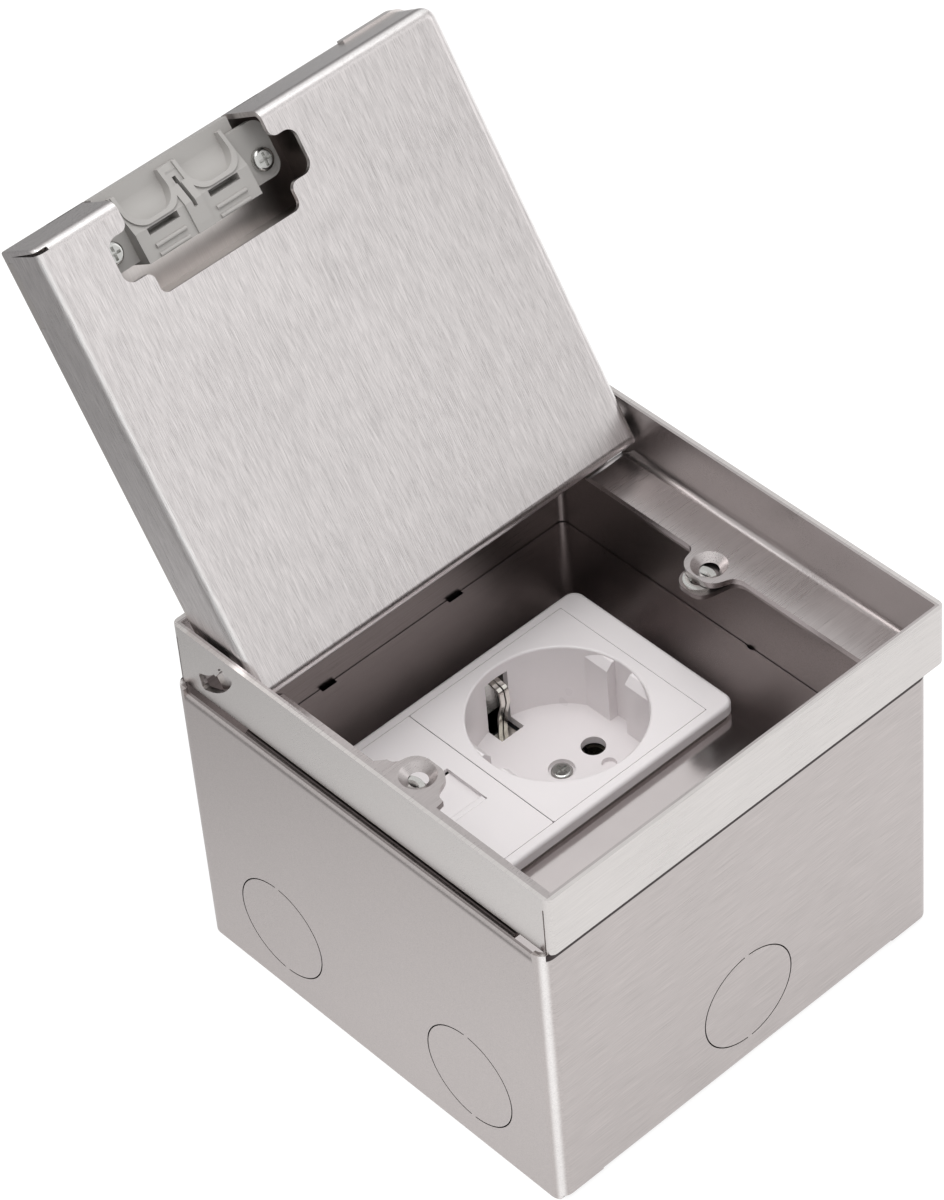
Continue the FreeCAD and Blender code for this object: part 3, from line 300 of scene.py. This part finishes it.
# painted highlight along the middle of the bends round the underside
lid_bend_highlight_tone = (0.92, 0.89, 0.88)
lid_angle = 122.4
lid_grain = (lid_angle, 0, 90)
lid_sides = (-0.05, 0.056)
hinge_line = Vector((0.003, 0.043, 0.0871))
hinge_on_lid = Vector((0.0, 0.043, 0.0108))
pan_half = 0.0542
pan_under = 0.0018
pan_bend = 0.0025
pan_bend_highlight_span = (0.32, 0.62)


def towards_outer_side(tree, place):
    """0 at the lid's -X side, rising evenly to 1 at its +X side, as the share of painted shade."""
    across, _, _ = split(tree, place)
    return graded(tree, across, *lid_sides, curve="LINEAR")


def on_lid_bends(tree, place):
    """1 along the middle of the bends round the lid's underside, found on the shut lid; a highlight is
    painted there.
    """
    from_hinge = calculate_vector(tree, "SUBTRACT", place, hinge_line)
    turn = math.radians(lid_angle)
    shut_axes = ((1, 0, 0), (0, math.cos(turn), -math.sin(turn)), (0, math.sin(turn), math.cos(turn)))
    across, along, height = (
        calculate(tree, "ADD", calculate_vector(tree, "DOT_PRODUCT", from_hinge, axis), start)
        for axis, start in zip(shut_axes, hinge_on_lid))
    outwards = calculate(tree, "MAXIMUM", calculate(tree, "ABSOLUTE", across),
                         calculate(tree, "MULTIPLY", along, -1.0))
    past_side = calculate(tree, "SUBTRACT", outwards, pan_half - pan_bend)
    past_face = calculate(tree, "SUBTRACT", pan_under + pan_bend, height)
    return graded(tree, calculate(tree, "MINIMUM", past_side, past_face),
                  *(share * pan_bend for share in pan_bend_highlight_span))


dress("lid_pan", brushed_steel("lid_steel", lid_tone, turn=lid_grain, roughness=0.3, contrast=1.5,
                               fineness=12000.0, smudge=0.05,
                               shades=((lid_far_shade_tone, towards_outer_side),
                                       (lid_bend_highlight_tone, on_lid_bends))))

# ---- lid tray ----
# Top of the lid, a folded stainless tray that takes the floor finish and whose flange closes the
# pan. It is brushed like the pan, with painted shade in the hollow on either side of the cable outlet.
tray_tone = (0.72, 0.68, 0.66)
# painted shade in the hollow beside the cable outlet
tray_hollow_shade_tone = (0.2, 0.175, 0.165)
outlet_middle = -0.011
hollow_fade = (0.016, 0.023)
hollow_end = 0.0285


def beside_outlet(tree, place):
    """1 in the hollow beside the cable outlet's ears, where shade is painted, fading to 0 behind the
    outlet.
    """
    across, _, _ = split(tree, place)
    off_middle = calculate(tree, "ABSOLUTE", calculate(tree, "ADD", across, -outlet_middle))
    return calculate(tree, "MULTIPLY", graded(tree, off_middle, *hollow_fade),
                     calculate(tree, "LESS_THAN", off_middle, hollow_end))


dress("lid_tray", brushed_steel("tray_steel", tray_tone, turn=lid_grain, contrast=0.3,
                                shades=((tray_hollow_shade_tone, beside_outlet),)))

# ---- mounting plate ----
# Plate of bright-rolled stainless sheet that carries the sockets across the box on its folded tabs.
# Its mirror-like skin gathers the dark of the box.
plate_tone = (0.66, 0.61, 0.605)
dress("mounting_plate", brushed_steel("plate_steel", plate_tone, roughness=0.16, contrast=0.05,
                                      smudge=0.2))

# ---- small steel fittings ----
# Screws, rivet nuts and earth terminal of zinc-plated steel, and the pressed frame that supports
# the sockets. The plating is smooth, with a few cloudy smudges.
zinc_tone = (0.60, 0.60, 0.58)
zinc = brushed_steel("zinc", zinc_tone, roughness=0.25, contrast=0.05, smudge=0.3)
for fitting in ("rivet_nuts", "earth_stud", "earth_washer", "earth_nut", "outlet_screws",
                "support_frame", "frame_screws", "schuko_screw", "terminal_screws"):
    dress(fitting, zinc)

# ---- white mouldings ----
# Bezel, socket front and data face with its shutter, moulded in satin white plastic. The polished
# tools leave a faint ripple on them.
white_tone = (0.86, 0.82, 0.825)


def moulding(name, tone, roughness, grit, grit_scale):
    """Moulded plastic with a slightly cloudy tone and gloss, and a fine relief as deep as grit."""
    cloud_scale, cloud_detail, grit_detail = 60.0, 3.0, 4.0
    darkest, lightest, gloss_change = 0.965, 1.02, 0.06

    material = bpy.data.materials.new(name)
    material.use_nodes = True
    tree = material.node_tree
    shader = tree.nodes["Principled BSDF"]
    shader.inputs["IOR"].default_value = 1.5
    place = tree.nodes.new("ShaderNodeTexCoord").outputs["Object"]
    fine = noise(tree, place, grit_scale, grit_detail)
    cloud = noise(tree, place, cloud_scale, cloud_detail)
    tint = blend_tones(tree, cloud, (*[c * darkest for c in tone], 1),
                       (*[min(c * lightest, 1) for c in tone], 1))
    tree.links.new(tint, shader.inputs["Base Color"])
    shine = graded(tree, cloud, 0.0, 1.0, roughness - gloss_change, roughness + gloss_change, "LINEAR")
    tree.links.new(shine, shader.inputs["Roughness"])
    relief = tree.nodes.new("ShaderNodeBump")
    relief.inputs["Distance"].default_value = grit
    tree.links.new(fine, relief.inputs["Height"])
    tree.links.new(relief.outputs["Normal"], shader.inputs["Normal"])
    return material


white = moulding("white_plastic", white_tone, roughness=0.3, grit=0.000004, grit_scale=4000.0)
for face in ("bezel", "schuko_front", "rj45_face", "rj45_shutter"):
    dress(face, white)

# ---- cable outlet ----
# Light grey moulding, held in the lid's free edge by two screws, through which the cables leave. Its
# tool was spark-eroded, which gives it a fine texture.
outlet_tone = (0.40, 0.385, 0.37)
dress("cable_outlet", moulding("grey_plastic", outlet_tone, roughness=0.5, grit=0.00001,
                               grit_scale=5000.0))

# ---- hidden housings ----
# Body of the earthed socket and jack of the data socket, moulded in matt black plastic. They sit
# behind the white faces.
black_tone = (0.02, 0.02, 0.021)
black = moulding("black_plastic", black_tone, roughness=0.45, grit=0.00001, grit_scale=5000.0)
for housing in ("schuko_body", "rj45_jack"):
    dress(housing, black)

# ---- contacts ----
# Earth stirrup of bright spring metal, brass sleeves and clamps for the pins, and the gold-plated
# wires of the data jack. All are pressed or drawn and left smooth.
spring_tone = (0.72, 0.69, 0.64)
brass_tone = (0.50, 0.47, 0.41)
gold_tone = (0.85, 0.62, 0.22)
dress("earth_strap", brushed_steel("spring_metal", spring_tone, roughness=0.18, contrast=0.05))
dress("pin_contacts", brushed_steel("brass", brass_tone, roughness=0.25, contrast=0.05))
dress("rj45_contacts", brushed_steel("gold_wire", gold_tone, roughness=0.2, contrast=0.05))

# ---- floor ----
# Matt sheet of paper that looks almost white and keeps a soft shadow. Seen in the steel it is dark
# towards -X and +Y of the object and glows towards +X and -Y, which shades the upright walls.
paper_half = 4.0
paper_tone = (0.3, 0.3, 0.3)
paper_white = 0.8
glow_span = (-0.37, -0.02)
glow_strength = 0.66
scene.view_settings.view_transform = "Standard"

floor_mesh = bpy.data.meshes.new("floor")
shape = bmesh.new()
bmesh.ops.create_grid(shape, x_segments=1, y_segments=1, size=paper_half)
shape.to_mesh(floor_mesh)
shape.free()
floor = bpy.data.objects.new("floor", floor_mesh)
scene.collection.objects.link(floor)
paper = bpy.data.materials.new("white_floor")
paper.use_nodes = True
tree = paper.node_tree
shader = tree.nodes["Principled BSDF"]
shader.inputs["Base Color"].default_value = (*paper_tone, 1)
shader.inputs["Roughness"].default_value = 0.9
shader.inputs["Specular IOR Level"].default_value = 0.0
shader.inputs["Emission Color"].default_value = (1, 1, 1, 1)
ray = tree.nodes.new("ShaderNodeLightPath").outputs
directly = calculate(tree, "MAXIMUM", ray["Is Camera Ray"], ray["Is Transmission Ray"])
paper_x, paper_y, _ = split(tree, tree.nodes.new("ShaderNodeTexCoord").outputs["Object"])
glow = graded(tree, calculate(tree, "SUBTRACT", paper_x, paper_y), *glow_span, high=glow_strength)
mirrored = calculate(tree, "MULTIPLY", ray["Is Glossy Ray"], glow)
tree.links.new(calculate(tree, "MULTIPLY_ADD", directly, paper_white, mirrored),
               shader.inputs["Emission Strength"])
floor_mesh.materials.append(paper)

# ---- room ----
# Pale room that looks plain white past the floor. What it gives the steel falls from bright in front
# to dim in the far +Y direction.
room_steps = ((0.74, 0.90), (0.93, 0.34))
world = bpy.data.worlds.new("studio")
scene.world = world
world.use_nodes = True
tree = world.node_tree
sky = tree.nodes["Background"]
sky.inputs["Strength"].default_value = 1.0
_, depth, _ = split(tree, tree.nodes.new("ShaderNodeTexCoord").outputs["Generated"])
ramp = tree.nodes.new("ShaderNodeValToRGB")
for stop, (position, strength) in zip(ramp.color_ramp.elements, room_steps):
    stop.position = position
    stop.color = (strength, strength, strength, 1)
tree.links.new(graded(tree, depth, -1.0, 1.0, curve="LINEAR"), ramp.inputs["Fac"])
tree.links.new(ramp.outputs["Color"], sky.inputs["Color"])
plain = tree.nodes.new("ShaderNodeBackground")
plain.inputs["Color"].default_value = (1, 1, 1, 1)
mix = tree.nodes.new("ShaderNodeMixShader")
seen = tree.nodes.new("ShaderNodeLightPath").outputs["Is Camera Ray"]
for socket, value in zip(mix.inputs, (seen, sky.outputs["Background"], plain.outputs["Background"])):
    tree.links.new(value, socket)
tree.links.new(mix.outputs["Shader"], tree.nodes["World Output"].inputs["Surface"])

# ---- lamps and camera ----
# Two square soft boxes, one above the open lid and a larger one low in front to the right. The
# camera stands in front to the left, high above the box, with a long lens.
lamp_target = Vector((0.0, 0.02, 0.06))
key_place, key_size, key_power = (-0.1, 0.1, 1.7), 1.0, 10.5
fill_place, fill_size, fill_power = (2.6, -1.8, 1.3), 2.0, 8.0
camera_place = (-0.45714, -0.53475, 0.78970)
camera_turn = (45.4523, 3.7668, -43.0357)
camera_lens = 183.81


def soft_box(name, place, size, power):
    """Square area lamp aimed at the middle of the object."""
    lamp = bpy.data.lights.new(name, "AREA")
    lamp.shape = "SQUARE"
    lamp.size = size
    lamp.energy = power
    holder = bpy.data.objects.new(name, lamp)
    scene.collection.objects.link(holder)
    holder.location = place
    holder.rotation_euler = (lamp_target - Vector(place)).to_track_quat("-Z", "Y").to_euler()


soft_box("key", key_place, key_size, key_power)
soft_box("fill", fill_place, fill_size, fill_power)

camera = bpy.data.cameras.new("camera")
camera.sensor_fit = "HORIZONTAL"
camera.sensor_width = 36.0
camera.lens = camera_lens
viewer = bpy.data.objects.new("camera", camera)
scene.collection.objects.link(viewer)
viewer.location = camera_place
viewer.rotation_euler = [math.radians(a) for a in camera_turn]
scene.camera = viewer
